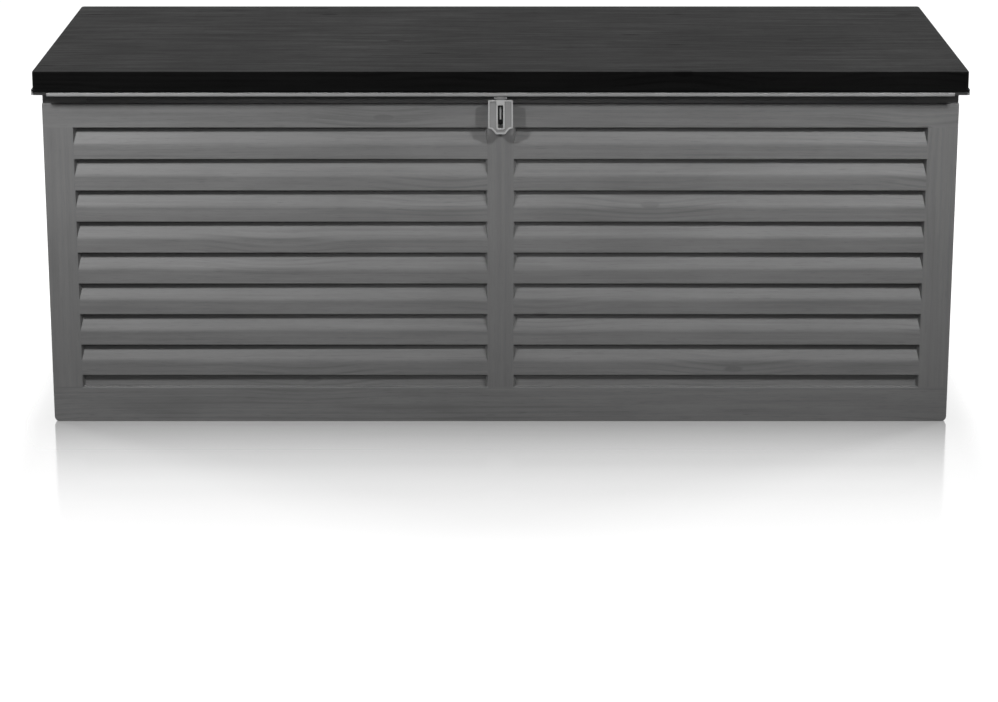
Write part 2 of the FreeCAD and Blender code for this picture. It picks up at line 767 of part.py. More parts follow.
def hasp_outline(inset):
    """The hasp's front view, from its shoulders down to the finger tab, drawn inset from its edge."""
    w = hasp_width / 2 - inset
    top = hasp_shoulder - inset
    low = hasp_shoulder - hasp_height + inset
    hip = low + hasp_tab_drop - inset * 0.4
    tab = (hasp_tab_width - inset) / 2
    right = [
        (w - 2, top),
        ((w - 0.6, top - 0.6), (w, top - 2)),
        (w, hip + 1.5),
        ((w - 0.5, hip + 0.4), (w - 1.6, hip)),
        (w - 5, hip - 0.8),
        ((tab + 5.2, low + 5.6), (tab + 2.5, low + 2.2)),
        ((tab + 1.2, low + 0.6), (tab, low)),
    ]
    starts = [(0.0, top)] + [step[1] if isinstance(step[0], tuple) else step for step in right]
    left = []
    for start, step in zip(starts, right):
        end = (-start[0], start[1])
        left.insert(0, ((-step[0][0], step[0][1]), end) if isinstance(step[0], tuple) else end)
    return outline(in_xz, starts[0], right + [(-starts[-1][0], starts[-1][1])] + left)


def slot_face(grow):
    w = slot_width / 2 + grow
    return rounded(in_xz, (-w, w), (slot_bottom - grow, slot_top + grow), (slot_corner + grow,) * 4)


def hasp():
    """The plate with its raised border, the framed slot, and the knuckle on top of it."""
    middle = hasp_back - hasp_plate
    half = hasp_knuckle_width / 2
    inner = swept(hasp_outline(hasp_border), (0, 1, 0), hasp_front - 1, middle + 1)
    border = swept(hasp_outline(0.0), (0, 1, 0), hasp_front, middle).cut(inner)
    bore = hasp_pin_radius + pin_clearance
    parts = [
        border,
        swept(slot_face(slot_frame), (0, 1, 0), hasp_front, middle),
        block((-half, half), (hasp_front, hasp_back), (slot_top + slot_frame / 2, hasp_z)),
        rod((-half, hasp_y, hasp_z), (1, 0, 0), hasp_knuckle_radius, hasp_knuckle_width),
    ]
    cuts = [
        swept(slot_face(0.0), (0, 1, 0), hasp_front - 1, hasp_back + 1),
        rod((-half - 1, hasp_y, hasp_z), (1, 0, 0), bore, hasp_knuckle_width + 2),
    ]
    return swept(hasp_outline(0.0), (0, 1, 0), middle, hasp_back).fuse(parts).cut(cuts)


def hasp_bracket():
    """A plate under the front rim with two ears that hold the hasp's pin."""
    w, r = hasp_width / 2, hasp_ear_radius
    y0, y1 = front_face - lip_overhang + rim_edge + leaf_clearance, front_face + riser_outside
    plate = block((-w, w), (y0, y1), (leaf_under, flange_under))
    ear = outline(in_yz, (y0, leaf_under + 0.5), [
        (y0 + 12, leaf_under + 0.5),
        (hasp_y + r * 0.6, hasp_z - r * 0.8),
        (hasp_y, hasp_z),
        (hasp_y, hasp_z + r),
        (y0, rim_bottom - leaf_clearance),
    ])
    parts = []
    for s in (-1, 1):
        ends = span(s * hasp_ear_inside, s * hasp_pin_half)
        parts.append(swept(ear, (1, 0, 0), *ends))
        parts.append(rod((ends[0], hasp_y, hasp_z), (1, 0, 0), r, hasp_ear))
    cuts = [rod((-w, hasp_y, hasp_z), (1, 0, 0), hasp_pin_radius, 2 * w)]
    for x, y in hasp_screw_places():
        cuts.append(screw_hole((x, y, leaf_under - 1), (0, 0, 1), leaf_thickness + 2))
    return plate.fuse(parts).cut(cuts)


def hasp_pin():
    w = hasp_pin_half
    shank = rod((-w, hasp_y, hasp_z), (1, 0, 0), hasp_pin_radius, 2 * w)
    head = hasp_pin_radius + hasp_pin_head
    heads = [rod((s * w, hasp_y, hasp_z), (s, 0, 0), head, hasp_pin_head) for s in (-1, 1)]
    return shank.fuse(heads)


def lug_screw_places():
    rows = (lug_plate_top - lug_screw_inset, lug_plate_top - lug_plate_height + lug_screw_inset)
    return [(s * lug_screw_spread, z) for s in (-1, 1) for z in rows]


def padlock_lug():
    """A plate on the front stile with a flat lug whose eye takes a padlock's shackle."""
    y, w = front_face, lug_plate_width / 2
    heights = (lug_plate_top - lug_plate_height, lug_plate_top)
    plate = swept(rounded(in_xz, (-w, w), heights, (3.0,) * 4), (0, 1, 0), y - lug_plate, y)
    root = y - lug_plate / 2
    nose = lug_nose
    ring = lug_eye_radius + lug_eye_wall
    profile = outline(in_yz, (root, lug_top), [
        (lug_tip + nose, lug_top),
        ((lug_tip + nose * arc_mid, lug_top - nose * arc_mid), (lug_tip, lug_top - nose)),
        (lug_tip, lug_eye_z),
        ((lug_tip + ring * arc_mid, lug_eye_z - ring * (1 - arc_mid)), (lug_eye_y, lug_eye_z - ring)),
        (root, lug_eye_z - ring),
    ])
    blade = swept(profile, (1, 0, 0), -lug_thickness / 2, lug_thickness / 2)
    cuts = [rod((-lug_thickness, lug_eye_y, lug_eye_z), (1, 0, 0), lug_eye_radius, 2 * lug_thickness)]
    cuts += [screw_hole((x, y - lug_plate - 1, z), (0, 1, 0), lug_plate + 2) for x, z in lug_screw_places()]
    return plate.fuse(blade).cut(cuts)


# Lid stays, drawn on the right-hand side. The peg and the arm's pivot are equally far from the hinge axis,
# so the arm turns half as far as the lid while its slot slides over the peg. The slot's end stops the lid.


def stay_reach(lid_angle):
    """Distance from the arm's pivot to the peg with the lid open by an angle."""
    shut = math.hypot(stay_peg_y - stay_pivot_y, stay_peg_z - stay_pivot_z)
    angle = 2 * math.asin(shut / (2 * stay_radius)) + math.radians(lid_angle)
    return 2 * stay_radius * math.sin(angle / 2)


def stay_arm():
    """A flat bar with a long slot, hanging from the lid."""
    r, slot_r = stay_half_width, stay_peg_radius + stay_slot_clearance
    start, end = stay_reach(0), stay_reach(lid_open_angle)
    tail = end + slot_r + stay_tail
    bar = outline(in_yz, (-r, 0), [
        ((0, r), (r, 0)),
        (r, -tail + r),
        ((0, -tail), (-r, -tail + r)),
    ])
    slot = outline(in_yz, (-slot_r, -start), [
        ((0, -start + slot_r), (slot_r, -start)),
        (slot_r, -end),
        ((0, -end - slot_r), (-slot_r, -end)),
    ])
    shape = swept(bar, (1, 0, 0), stay_inner_x, stay_outer_x)
    shape = shape.cut([
        swept(slot, (1, 0, 0), stay_inner_x - 1, stay_outer_x + 1),
        rod((stay_inner_x - 1, 0, 0), (1, 0, 0), stay_peg_radius + pin_clearance, stay_thickness + 2),
    ])
    lean = math.degrees(math.atan2(stay_peg_y - stay_pivot_y, stay_pivot_z - stay_peg_z))
    shape.rotate(Vector(), Vector(1, 0, 0), lean)
    return shape.translated(Vector(0, stay_pivot_y, stay_pivot_z))


def stay_peg():
    """A shoulder screw: the shank runs in the arm's slot and the head keeps the arm on."""
    inner = stay_inner_x - stay_side_gap
    outer = half_width - louvre_depth
    shank = rod((inner, stay_peg_y, stay_peg_z), (1, 0, 0), stay_peg_radius, outer - inner)
    start = (inner - stay_peg_head, stay_peg_y, stay_peg_z)
    return shank.fuse(rod(start, (1, 0, 0), 2 * stay_peg_radius, stay_peg_head))


def stay_screw_places():
    x = stay_inner_x - stay_side_gap - stay_plate - stay_plate_width / 2
    return [(s * x, stay_pivot_y + d) for s in (-1, 1) for d in (-stay_screw_spread, stay_screw_spread)]


def stay_bracket():
    """An angle bracket under the liner whose ear holds the arm's pivot."""
    x1 = stay_inner_x - stay_side_gap
    x0 = x1 - stay_plate
    half = stay_screw_spread + 2 * stay_screw_head
    r = stay_half_width - stay_head_room
    y, z = stay_pivot_y, stay_pivot_z
    plate = block((x0 - stay_plate_width, x1), (y - half, y + half), (liner_under - stay_plate, liner_under))
    ear = outline(in_yz, (y - half, liner_under), [
        (y - r, z),
        ((y, z - r), (y + r, z)),
        (y + half, liner_under),
    ])
    cuts = [rod((x0 - 1, y, z), (1, 0, 0), stay_peg_radius, stay_plate + 2)]
    for px, py in stay_screw_places():
        cuts.append(screw_hole((px, py, liner_under - stay_plate - 1), (0, 0, 1), stay_plate + 2))
    return plate.fuse(swept(ear, (1, 0, 0), x0, x1)).cut(cuts)


def stay_pivot():
    x0 = stay_inner_x - stay_side_gap - stay_plate
    x1 = stay_outer_x + stay_side_gap
    y, z = stay_pivot_y, stay_pivot_z
    shank = rod((x0, y, z), (1, 0, 0), stay_peg_radius, x1 - x0)
    heads = [
        rod((x1, y, z), (1, 0, 0), 1.6 * stay_peg_radius, 2.0),
        rod((x0, y, z), (-1, 0, 0), 1.6 * stay_peg_radius, 2.0),
    ]
    return shank.fuse(heads)


# Screws, one node for each job


def corner_screws():
    grip = ledge_depth + seam + wall
    screws = []
    for front in (-1, 1):
        for side in (-1, 1):
            for z in joint_screw_heights:
                x = side * (half_width - joint_screw_inset)
                y = body_mid_y + front * (half_depth - grip)
                screws.append(screw((x, y, z), (0, front, 0), grip - wall / 2))
    return Part.makeCompound(screws)


def hinge_body_screws():
    seat = rear_face + leaf_thickness
    length = leaf_thickness + screw_bite
    return Part.makeCompound([screw((x, seat, z), (0, -1, 0), length) for x, z in body_leaf_screw_places()])


def lid_screws(places):
    length = leaf_thickness + liner_wall + screw_bite
    return Part.makeCompound([screw((x, y, leaf_under), (0, 0, 1), length) for x, y in places])


def lug_screws():
    seat = front_face - lug_plate
    length = lug_plate + screw_bite
    return Part.makeCompound([
        screw((x, seat, z), (0, 1, 0), length, lug_screw_head) for x, z in lug_screw_places()])


def stay_screws():
    seat = liner_under - stay_plate
    length = stay_plate + liner_wall + 2
    return Part.makeCompound([
        screw((x, y, seat), (0, 0, 1), length, stay_screw_head) for x, y in stay_screw_places()])


def nodes():
    side = tidy(right_side_panel())
    made = {
        "front_panel": tidy(front_panel()),
        "rear_panel": tidy(rear_panel()),
        "right_side_panel": side,
        "left_side_panel": across_middle(side),
        "floor_panel": tidy(floor_panel()),
        "lid_cover": tidy(lid_cover()),
        "lid_liner": tidy(lid_liner()),
        "hasp": tidy(hasp()),
        "hasp_bracket": tidy(hasp_bracket()),
        "hasp_pin": hasp_pin(),
        "padlock_lug": tidy(padlock_lug()),
        "corner_screws": corner_screws(),
        "hinge_body_screws": hinge_body_screws(),
        "hinge_lid_screws": lid_screws(hinge_screw_places()),
        "hasp_screws": lid_screws(hasp_screw_places()),
        "lug_screws": lug_screws(),
        "stay_screws": stay_screws(),
    }
    for name, x in hinge_centres.items():
        made["hinge_body_leaf_" + name] = tidy(body_leaf(x))
        made["hinge_lid_leaf_" + name] = tidy(lid_leaf(x))
        made["hinge_pin_" + name] = hinge_pin(x)
    makers = {"arm": stay_arm, "peg": stay_peg, "bracket": stay_bracket, "pivot": stay_pivot}
    for name, make in makers.items():
        shape = make()
        made["stay_" + name + "_right"] = shape
        made["stay_" + name + "_left"] = across_middle(shape)
    return made


os.makedirs("parts", exist_ok=True)
model = nodes()
for node_name, node_shape in model.items():
    node_shape.exportStep(os.path.join("parts", node_name + ".step"))
    count, cm3 = len(node_shape.Solids), round(node_shape.Volume / 1000, 1)
    print(node_name, "solids", count, "valid", node_shape.isValid(), "volume", cm3, "cm3")
print("hinge axis", hinge_y, hinge_z, "hasp axis", hasp_y, hasp_z)
print("stay pivot", round(stay_pivot_y, 3), stay_pivot_z, "peg", round(stay_peg_y, 3), stay_peg_z)
print("hasp centre of mass", model["hasp"].CenterOfMass, "lug eye", lug_eye_y, lug_eye_z)
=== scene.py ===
import bmesh
import bpy
import json
import math
from mathutils import Matrix, Vector

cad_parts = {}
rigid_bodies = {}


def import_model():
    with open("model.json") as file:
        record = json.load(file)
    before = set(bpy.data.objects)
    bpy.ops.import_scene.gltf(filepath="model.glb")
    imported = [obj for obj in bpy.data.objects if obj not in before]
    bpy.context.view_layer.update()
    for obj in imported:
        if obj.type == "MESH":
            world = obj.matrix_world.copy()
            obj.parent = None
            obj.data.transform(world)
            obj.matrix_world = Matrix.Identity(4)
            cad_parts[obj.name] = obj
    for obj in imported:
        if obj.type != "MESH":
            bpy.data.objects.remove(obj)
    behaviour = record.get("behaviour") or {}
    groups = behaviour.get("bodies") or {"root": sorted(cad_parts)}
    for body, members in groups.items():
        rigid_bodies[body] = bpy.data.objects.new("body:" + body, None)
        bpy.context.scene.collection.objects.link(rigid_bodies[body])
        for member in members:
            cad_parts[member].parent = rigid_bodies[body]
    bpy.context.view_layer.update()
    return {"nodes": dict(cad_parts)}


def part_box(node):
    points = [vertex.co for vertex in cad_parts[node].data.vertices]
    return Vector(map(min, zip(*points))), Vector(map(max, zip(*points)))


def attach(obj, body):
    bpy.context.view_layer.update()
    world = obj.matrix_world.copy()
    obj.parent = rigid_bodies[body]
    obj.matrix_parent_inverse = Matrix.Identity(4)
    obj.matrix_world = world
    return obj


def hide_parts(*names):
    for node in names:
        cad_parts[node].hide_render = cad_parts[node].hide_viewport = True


# Blender's own start objects make room for the frame
for leftOver in list(bpy.data.objects):
    bpy.data.objects.remove(leftOver)

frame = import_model()
cadNodes = frame["nodes"]
print("frame loaded:", len(cadNodes), "nodes")

# the box's own lines, read from the frame, in metres
frontLow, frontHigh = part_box("front_panel")
frontFace = frontLow.y
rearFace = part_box("rear_panel")[1].y
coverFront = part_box("lid_cover")[0].y
middleY = (frontFace + rearFace) / 2
halfWidth = frontHigh.x
halfDepth = (rearFace - frontFace) / 2


# node helpers

def addNode(tree, kind, inputs=None, **settings):
    node = tree.nodes.new(kind)
    for name, value in settings.items():
        setattr(node, name, value)
    for name, value in (inputs or {}).items():
        socket = node.inputs[name]
        if isinstance(value, bpy.types.NodeSocket):
            tree.links.new(value, socket)
        else:
            socket.default_value = value
    return node


def calc(tree, operation, *values):
    return addNode(tree, "ShaderNodeMath", dict(enumerate(values)), operation=operation).outputs[0]


def weighted(tree, *pairs):
    # the sum of (value, share) pairs
    portions = [calc(tree, "MULTIPLY", value, share) for value, share in pairs]
    total = portions[0]
    for portion in portions[1:]:
        total = calc(tree, "ADD", total, portion)
    return total


def remap(tree, value, fromLow, fromHigh, toLow=0.0, toHigh=1.0, smooth=False):
    return addNode(tree, "ShaderNodeMapRange", {
        "Value": value, "From Min": fromLow, "From Max": fromHigh, "To Min": toLow, "To Max": toHigh,
    }, interpolation_type="SMOOTHSTEP" if smooth else "LINEAR").outputs[0]


def mixNumbers(tree, share, a, b):
    return addNode(tree, "ShaderNodeMix", {0: share, 2: a, 3: b}, data_type="FLOAT").outputs[0]


def mixColours(tree, share, a, b):
    return addNode(tree, "ShaderNodeMix", {0: share, 6: a, 7: b}, data_type="RGBA").outputs[2]


def grey(level, tint=(1.0, 1.0, 1.0)):
    # level is the tone as it looks on screen, 0 to 255
    share = level / 255
    linear = share / 12.92 if share <= 0.04045 else ((share + 0.055) / 1.055) ** 2.4
    return tuple(linear * t for t in tint) + (1.0,)


def surfacePoint(tree):
    coords = addNode(tree, "ShaderNodeTexCoord")
    return coords.outputs["Object"], coords.outputs["Normal"]


def split(tree, vector):
    return addNode(tree, "ShaderNodeSeparateXYZ", {0: vector}).outputs[0:3]


def stretched(tree, along, across, through, alongScale, acrossScale):
    along = calc(tree, "MULTIPLY", along, alongScale)
    across = calc(tree, "MULTIPLY", across, acrossScale)
    return addNode(tree, "ShaderNodeCombineXYZ", {0: along, 1: across, 2: through}).outputs[0]


def noise(tree, vector, scale, detail=3.0, rough=0.55, warp=0.0):
    return addNode(tree, "ShaderNodeTexNoise", {
        "Vector": vector, "Scale": scale, "Detail": detail, "Roughness": rough, "Distortion": warp,
    }).outputs["Fac"]


fineNoise = {"detail": 2.0, "rough": 0.5}  # for grit, pebbles and flow marks


# moulded wood grain: broken streaks, faint growth lines that bend round knots, hair lines and pores

grainLook = {
    # along and across are changes per metre, pull is metres, and share is a layer's part of the height
    "wander": {"along": 0.9, "across": 6.0, "detail": 2.0, "rough": 0.55, "pull": 0.022},
    "streak": {"along": 2.6, "across": 150.0, "detail": 4.0, "rough": 0.6, "share": 0.55},
    "hair": {"along": 7.0, "across": 620.0, "detail": 2.0, "rough": 0.5, "share": 0.22},
    "patch": {"along": 7.5, "across": 50.0, "detail": 3.0, "rough": 0.6, "share": 0.42},
    "pore": {"along": 42.0, "across": 1050.0, "detail": 1.0, "rough": 0.5},
    "poreCut": {"low": 0.30, "high": 0.40, "leaves": 0.72},
    "knot": {"along": 2.1, "across": 6.5, "random": 0.9, "reach": 0.32, "pull": 0.011},
    "heart": {"inner": 0.0152, "outer": 0.038, "share": -0.40},
    "ring": {"every": 0.0085, "sharp": 3.0, "share": -0.15},
    "ringShows": {"low": 0.45, "high": 0.75, "least": 0.15},  # faint where the boards run straight
}
plainHeight = 0.5  # the height where a face carries no grain


def woodGrain(tree, along, across, through):
    # along runs with the boards, across over them and through into them, all in metres
    look = grainLook

    def layer(name, over):
        each = look[name]
        boards = stretched(tree, along, over, through, each["along"], each["across"])
        return noise(tree, boards, 1.0, each["detail"], each["rough"])

    wander = layer("wander", across)
    knotLook, heartLook, ringLook = look["knot"], look["heart"], look["ring"]
    cell = addNode(tree, "ShaderNodeTexVoronoi", {
        "Vector": stretched(tree, along, across, 0.0, knotLook["along"], knotLook["across"]),
        "Scale": 1.0, "Randomness": knotLook["random"],
    }, voronoi_dimensions="2D").outputs["Distance"]
    knot = remap(tree, cell, 0.0, knotLook["reach"], 1.0, 0.0, smooth=True)
    heart = remap(tree, cell, heartLook["inner"], heartLook["outer"], 1.0, 0.0, smooth=True)
    bent = calc(tree, "ADD", across, calc(tree, "MULTIPLY", wander, look["wander"]["pull"]))
    bent = calc(tree, "ADD", bent, calc(tree, "MULTIPLY", knot, knotLook["pull"]))
    ring = calc(tree, "SINE", calc(tree, "MULTIPLY", bent, 2 * math.pi / ringLook["every"]))
    ring = calc(tree, "POWER", remap(tree, ring, -1.0, 1.0), ringLook["sharp"])
    shows = look["ringShows"]
    shown = remap(tree, calc(tree, "ADD", wander, knot), shows["low"], shows["high"], shows["least"], 1.0)
    ring = calc(tree, "MULTIPLY", ring, shown)
    fine = [(layer(name, bent), look[name]["share"]) for name in ("streak", "hair", "patch")]
    height = weighted(tree, *fine, (ring, ringLook["share"]), (heart, heartLook["share"]))
    cut = look["poreCut"]
    pore = remap(tree, layer("pore", across), cut["low"], cut["high"], smooth=True)
    return calc(tree, "MULTIPLY", height, remap(tree, pore, 0.0, 1.0, cut["leaves"], 1.0))


def startMaterial(name):
    material = bpy.data.materials.new(name)
    material.use_nodes = True
    tree = material.node_tree
    return material, tree, tree.nodes["Principled BSDF"]


edgeLook = {"samples": 4, "paintEdgeHighlightFrom": 0.985, "paintEdgeHighlightFull": 0.82}


def softEdge(tree, radius):
    # the moulding's small outside radii, and a mask that is 1 on them, where the edges are painted paler
    # as a painted highlight
    bevel = addNode(tree, "ShaderNodeBevel", {"Radius": radius}, samples=edgeLook["samples"]).outputs[0]
    plain = addNode(tree, "ShaderNodeNewGeometry").outputs["Normal"]
    turn = addNode(tree, "ShaderNodeVectorMath", {0: bevel, 1: plain}, operation="DOT_PRODUCT")
    edgeHighlight = remap(tree, turn.outputs["Value"], edgeLook["paintEdgeHighlightFrom"], edgeLook["paintEdgeHighlightFull"], smooth=True)
    return bevel, edgeHighlight


# paints the edges paler: a painted edge highlight
def paintEdgeHighlight(tree, shade, edgeHighlight, share, tone):
    return mixColours(tree, calc(tree, "MULTIPLY", edgeHighlight, share), shade, grey(tone))


def finishSurface(tree, shader, colour, rough, edge, heights):
    # heights are (height, metres from the lowest to the highest point) pairs, laid one over another
    tree.links.new(colour, shader.inputs["Base Color"])
    tree.links.new(rough, shader.inputs["Roughness"])
    normal = edge
    for height, reach in heights:
        bump = addNode(tree, "ShaderNodeBump", {
            "Height": height, "Strength": 1.0, "Distance": reach, "Normal": normal})
        normal = bump.outputs[0]
    tree.links.new(normal, shader.inputs["Normal"])


# what the walls and the lid cover share: tone and relief that follow the grain, fine grit, edges painted
# paler as a painted highlight

mouldingLook = {
    "grainShare": 0.75, "cloudShare": 0.25, "toneLow": 0.38, "toneHigh": 0.66, "gritScale": 1500.0,
    "edgeHighlightShare": 0.4,
}


def dressMoulding(tree, shader, look, point, grain, paintedTopLight=None):
    cloud = noise(tree, point, look["cloudScale"])
    grit = noise(tree, point, mouldingLook["gritScale"], **fineNoise)
    edge, edgeHighlight = softEdge(tree, look["edge"])
    tone = weighted(tree, (grain, mouldingLook["grainShare"]), (cloud, mouldingLook["cloudShare"]))
    tone = remap(tree, tone, mouldingLook["toneLow"], mouldingLook["toneHigh"])
    shade = mixColours(tree, tone, grey(look["dark"]), grey(look["light"]))
    # upward faces take a paler copy of the tone, a painted highlight
    if paintedTopLight is not None:
        lift = look["topLightLift"]
        pale = mixColours(tree, tone, grey(look["dark"] + lift), grey(look["light"] + lift))
        shade = mixColours(tree, paintedTopLight, shade, pale)
    # edges painted paler, a painted highlight
    shade = paintEdgeHighlight(tree, shade, edgeHighlight, mouldingLook["edgeHighlightShare"], look["edgeHighlight"])
    rough = remap(tree, tone, 0.0, 1.0, *look["rough"])
    shader.inputs["Specular IOR Level"].default_value = look["gloss"]
    finishSurface(tree, shader, shade, rough, edge, [(grit, look["grit"]), (grain, look["grainDepth"])])


# walls: charcoal grey moulding, grained on the outside only

wallLook = {
    # tones are screen levels from 0 to 255, depths, grit, edge and the stiles' and rails' lines are metres
    # the paler edge tone is a painted edge highlight
    "dark": 95, "light": 113, "edgeHighlight": 138, "cloudScale": 4.5, "rough": (0.48, 0.66), "gloss": 0.22,
    "grainDepth": 0.00024, "grit": 0.00003, "edge": 0.0012, "outerFrom": 0.25, "outerFull": 0.6,
    # the lift on upward faces is a painted highlight, in screen levels
    "topLightLift": 3, "topLightFrom": 0.1, "topLightFull": 0.4,
    "stile": 0.0470, "centreStile": 0.0205, "stileCalm": 0.4, "stileShift": 3.0,
    "railTop": 0.476, "railFoot": 0.057,
}


def wallMaterial(name, sideways):
    look = wallLook
    material, tree, shader = startMaterial(name)
    point, normal = surfacePoint(tree)
    x, y, z = split(tree, point)
    nx, ny, nz = split(tree, normal)
    y = calc(tree, "SUBTRACT", y, middleY)
    if sideways:
        run, depth, facing, half = y, x, nx, halfDepth
    else:
        run, depth, facing, half = x, y, ny, halfWidth
    away = calc(tree, "ABSOLUTE", run)
    level = woodGrain(tree, run, z, depth)
    # the grain stands upright on the stiles, between the rails
    upright = woodGrain(tree, z, run, calc(tree, "ADD", depth, look["stileShift"]))
    upright = mixNumbers(tree, look["stileCalm"], upright, plainHeight)
    onStile = calc(tree, "GREATER_THAN", away, half - look["stile"])
    if not sideways:
        onStile = calc(tree, "MAXIMUM", onStile, calc(tree, "LESS_THAN", away, look["centreStile"]))
    between = calc(tree, "MULTIPLY", calc(tree, "LESS_THAN", z, look["railTop"]),
                   calc(tree, "GREATER_THAN", z, look["railFoot"]))
    grain = mixNumbers(tree, calc(tree, "MULTIPLY", onStile, between), level, upright)
    outward = calc(tree, "MULTIPLY", facing, calc(tree, "SIGN", depth))
    outside = remap(tree, outward, look["outerFrom"], look["outerFull"], smooth=True)
    grain = mixNumbers(tree, outside, plainHeight, grain)
    # upward faces are painted paler: a painted highlight where light from above falls
    paintedTopLight = remap(tree, nz, look["topLightFrom"], look["topLightFull"])
    dressMoulding(tree, shader, look, point, grain, paintedTopLight)
    return material


# lid cover: black moulding, grained on top and round its edges, smooth beneath

# the cover's paler edge tone is a painted edge highlight
coverLook = {
    "dark": 6, "light": 16, "edgeHighlight": 30, "cloudScale": 3.0, "rough": (0.60, 0.43), "gloss": 0.022,
    "grainDepth": 0.00038, "grit": 0.00004, "edge": 0.0012,
    "endFacing": 0.8, "endShift": 5.0, "underFacing": -0.5,
}


def coverMaterial():
    look = coverLook
    material, tree, shader = startMaterial("lidMoulding")
    point, normal = surfacePoint(tree)
    x, y, z = split(tree, point)
    nx, _, nz = split(tree, normal)
    lengthways = woodGrain(tree, x, calc(tree, "SUBTRACT", y, z), 0.0)
    endways = woodGrain(tree, y, calc(tree, "ADD", z, x), look["endShift"])
    atEnd = calc(tree, "GREATER_THAN", calc(tree, "ABSOLUTE", nx), look["endFacing"])
    grain = mixNumbers(tree, atEnd, lengthways, endways)
    grain = mixNumbers(tree, calc(tree, "LESS_THAN", nz, look["underFacing"]), grain, plainHeight)
    dressMoulding(tree, shader, look, point, grain)
    return material


# satin finishes without grain: the lid's rim and liner, the hasp, the lug, the floor and the stays' paint

satinLook = {
    "cloudScale": 6.0, "cloudDetail": 4.0, "cloudShare": 0.6,
    "flowScale": 38.0, "flowShare": 0.4, "flowWarp": 0.6,
    "low": 0.35, "high": 0.65, "pebbleScale": 1200.0, "pebble": 0.00003,
    "edge": 0.0007, "edgeHighlightShare": 0.35, "edgeHighlightLift": 26, "stepBlend": 0.0002,
}


def satinMaterial(name, tone, rough, gloss, swing=5, steps=()):
    # steps are (side, place, tone): all that lies in front of, above or below that place takes that tone
    look = satinLook
    material, tree, shader = startMaterial(name)
    point, _ = surfacePoint(tree)
    _, y, z = split(tree, point)
    blend = look["stepBlend"]
    sides = {"front": (y, -blend), "above": (z, blend), "below": (z, -blend)}
    cloud = noise(tree, point, look["cloudScale"], look["cloudDetail"])
    flow = noise(tree, point, look["flowScale"], warp=look["flowWarp"], **fineNoise)
    pebbles = noise(tree, point, look["pebbleScale"], **fineNoise)
    edge, edgeHighlight = softEdge(tree, look["edge"])
    mottle = weighted(tree, (cloud, look["cloudShare"]), (flow, look["flowShare"]))
    mottle = remap(tree, mottle, look["low"], look["high"])

    def mottled(level):
        return mixColours(tree, mottle, grey(level - swing), grey(level + swing))

    shade = mottled(tone)
    for side, stepAt, stepTone in steps:
        way, half = sides[side]
        past = remap(tree, way, stepAt - half, stepAt + half)
        shade = mixColours(tree, past, shade, mottled(stepTone))
    # edges painted paler, a painted highlight
    shade = paintEdgeHighlight(tree, shade, edgeHighlight, look["edgeHighlightShare"], tone + look["edgeHighlightLift"])
    roughness = remap(tree, cloud, look["low"], look["high"], *rough)
    shader.inputs["Specular IOR Level"].default_value = gloss
    finishSurface(tree, shader, shade, roughness, edge, [(pebbles, look["pebble"])])
    return material


# zinc plate on the hinges, pins and screws

# the paler edge tone is a painted edge highlight
zincLook = {
    "dark": 140, "tint": (1.0, 1.01, 1.03), "light": 168, "edgeHighlight": 192, "edgeHighlightShare": 0.4,
    "flakeScale": 420.0, "flakeShare": 0.5, "brushScale": 900.0, "brushShare": 0.5, "brushDepth": 0.00002,
    "low": 0.1, "high": 0.9, "rough": (0.26, 0.46), "edge": 0.0005,
}


def zincMaterial():
    look = zincLook
    material, tree, shader = startMaterial("zincPlate")
    point, _ = surfacePoint(tree)
    flakes = addNode(tree, "ShaderNodeTexVoronoi", {"Vector": point, "Scale": look["flakeScale"]})
    flake = split(tree, flakes.outputs["Color"])[0]
    brush = noise(tree, point, look["brushScale"])
    edge, edgeHighlight = softEdge(tree, look["edge"])
    shade = mixColours(tree, calc(tree, "MULTIPLY", flake, look["flakeShare"]),
                       grey(look["dark"], look["tint"]), grey(look["light"]))
    # edges painted paler, a painted highlight
    shade = paintEdgeHighlight(tree, shade, edgeHighlight, look["edgeHighlightShare"], look["edgeHighlight"])
    spangle = weighted(tree, (flake, look["flakeShare"]), (brush, look["brushShare"]))
    rough = remap(tree, spangle, look["low"], look["high"], *look["rough"])
    shader.inputs["Metallic"].default_value = 1.0
    finishSurface(tree, shader, shade, rough, edge, [(brush, look["brushDepth"])])
    return material


rimLook = {"tone": 134, "rough": (0.46, 0.58), "gloss": 0.25}
# the hasp's raised border and slot frame are painted paler, a painted highlight, and its top takes painted
# shade under the lip
haspLook = {
    "tone": 134, "rough": (0.38, 0.50), "gloss": 0.3,
    "steps": [("front", -0.3003, 172), ("above", 0.5236, 112)],
}
# the lug is painted black as shade seen through the slot, its blade paler and its front painted bright as
# a highlight, and the blade's lower part painted black as shade
lugLook = {
    "tone": 14, "rough": (0.46, 0.58), "gloss": 0.15,
    "steps": [("front", -0.2845, 70), ("front", -0.2935, 208), ("below", 0.4925, 6)],
}
floorPanelLook = {"tone": 100, "rough": (0.50, 0.62), "gloss": 0.25}
stayLook = {"tone": 36, "rough": (0.32, 0.44), "gloss": 0.4, "swing": 4}

print("making materials")
wallLong = wallMaterial("wallAlong", False)
wallShort = wallMaterial("wallAcross", True)
lidMoulding = coverMaterial()
rimSatin = satinMaterial("rimSatin", **rimLook)
haspSatinPaintedLight = satinMaterial("haspSatinPaintedLight", **haspLook)
lugSatinPaintedLight = satinMaterial("lugSatinPaintedLight", **lugLook)
floorSatin = satinMaterial("floorSatin", **floorPanelLook)
stayPaint = satinMaterial("stayPaint", **stayLook)
zincPlate = zincMaterial()

